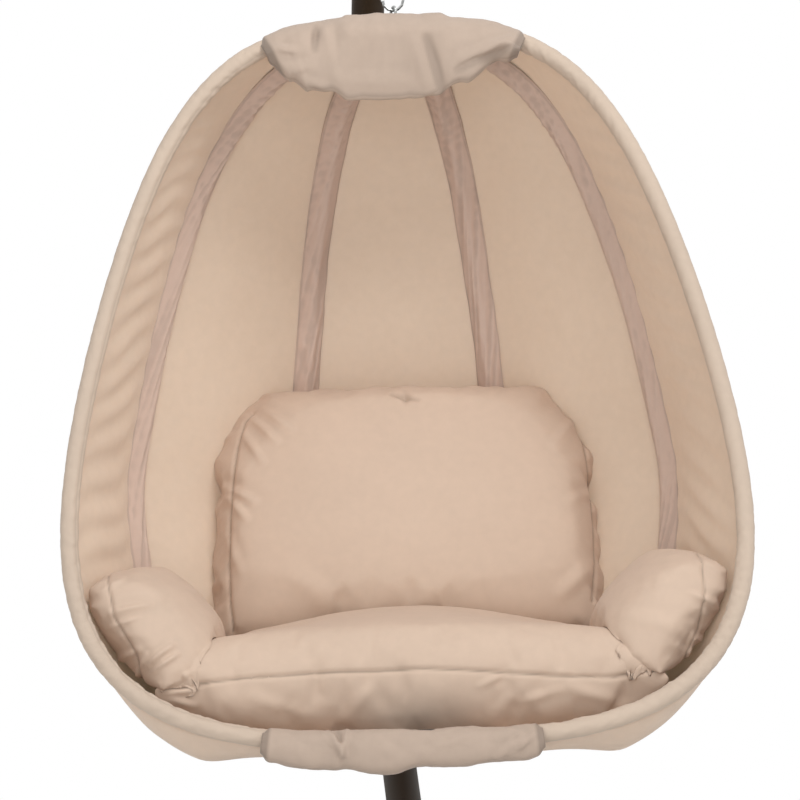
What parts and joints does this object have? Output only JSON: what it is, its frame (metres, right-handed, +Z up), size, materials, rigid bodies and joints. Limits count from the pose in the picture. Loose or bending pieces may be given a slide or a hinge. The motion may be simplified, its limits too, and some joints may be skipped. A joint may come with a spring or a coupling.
{
  "type": "hanging lounge chair with stand",
  "caption": "Hanging lounge chair: an open egg-shaped fabric shell on bent bows with loose cushions, hung by a swivel and chain from a curved tubular stand on a round base.",
  "frame": {"origin": "on the floor at the centre of the base ring, straight under the hook", "axes": "+Z up, -Y towards the open front of the chair, +X to the right as seen from the front"},
  "size_m": [1.1784, 1.1808, 1.9463],
  "materials": {
    "coated_steel": "satin",
    "zinc": "satin",
    "black_plastic": "matte",
    "fabric": "matte",
    "strip_fabric": "matte"
  },
  "bodies": {
    "stand": {"arm_eye_bolt": "zinc", "arm_eye_nut": "zinc", "arm_eye_washer": "zinc", "base_crossbar": "coated_steel", "base_ring_back": "coated_steel", "base_ring_front": "coated_steel", "crossbar_saddle": "coated_steel", "floor_glide_1": "black_plastic", "floor_glide_2": "black_plastic", "floor_glide_3": "black_plastic", "floor_glide_4": "black_plastic", "foot_bolt": "zinc", "foot_nut": "zinc", "foot_saddle": "coated_steel", "pole_cap_arm": "black_plastic", "pole_cap_foot": "black_plastic", "pole_coupler": "zinc", "pole_lower": "coated_steel", "pole_screw_high": "zinc", "pole_screw_low": "zinc", "pole_upper": "coated_steel", "ring_coupler_left": "zinc", "ring_coupler_right": "zinc", "ring_screw_left_back": "zinc", "ring_screw_left_front": "zinc", "ring_screw_right_back": "zinc", "ring_screw_right_front": "zinc", "saddle_bolt": "zinc", "saddle_nut": "zinc"},
    "swivel_upper": {"swivel_housing": "zinc"},
    "swivel_lower": {"swivel_stem": "zinc"},
    "chain": {"chain_link_1": "zinc", "chain_link_2": "zinc", "chain_link_3": "zinc", "snap_hook": "zinc", "gate_pin": "zinc"},
    "gate": {"hook_gate": "zinc"},
    "chair": {"shell_fabric": "fabric", "rim_sleeve_left": "fabric", "rim_sleeve_right": "fabric", "head_pad": "fabric", "front_pad": "fabric", "seat_cushion": "fabric", "back_cushion": "fabric", "arm_pillow_left": "fabric", "arm_pillow_right": "fabric", "rib_sleeve_inner_left": "strip_fabric", "rib_sleeve_inner_right": "strip_fabric", "rib_sleeve_outer_left": "strip_fabric", "rib_sleeve_outer_right": "strip_fabric", "top_hub": "black_plastic", "bottom_hub": "black_plastic", "hub_eye_bolt": "zinc", "hub_eye_nut": "zinc", "rib_inner_left": "coated_steel", "rib_inner_right": "coated_steel", "rib_outer_left": "coated_steel", "rib_outer_right": "coated_steel", "rim_tube_left": "coated_steel", "rim_tube_right": "coated_steel"}
  },
  "joints": [
    {"name": "swing", "type": "hinge", "parent": "stand", "child": "swivel_upper", "pos_m": [0, 0, 1.84817], "axis": [1, 0, 0], "range_deg": [-14, 3.5]},
    {"name": "swivel", "type": "hinge", "parent": "swivel_upper", "child": "swivel_lower", "pos_m": [0, 0, 1.80092], "axis": [0, 0, 1], "range_deg": [-25, 25]},
    {"name": "sway", "type": "hinge", "parent": "swivel_lower", "child": "chain", "pos_m": [0, 0, 1.77692], "axis": [0, 1, 0], "range_deg": [-5, 5]},
    {"name": "rock", "type": "hinge", "parent": "chain", "child": "chair", "pos_m": [0, 0, 1.56462], "axis": [1, 0, 0], "range_deg": [-6, 2]},
    {"name": "gate_hinge", "type": "hinge", "parent": "chain", "child": "gate", "pos_m": [-0.017, 0, 1.58562], "axis": [0, 1, 0], "range_deg": [0, 20], "stiffness_Nm_per_rad": 0.05, "springref_deg": -11.46}
  ]
}
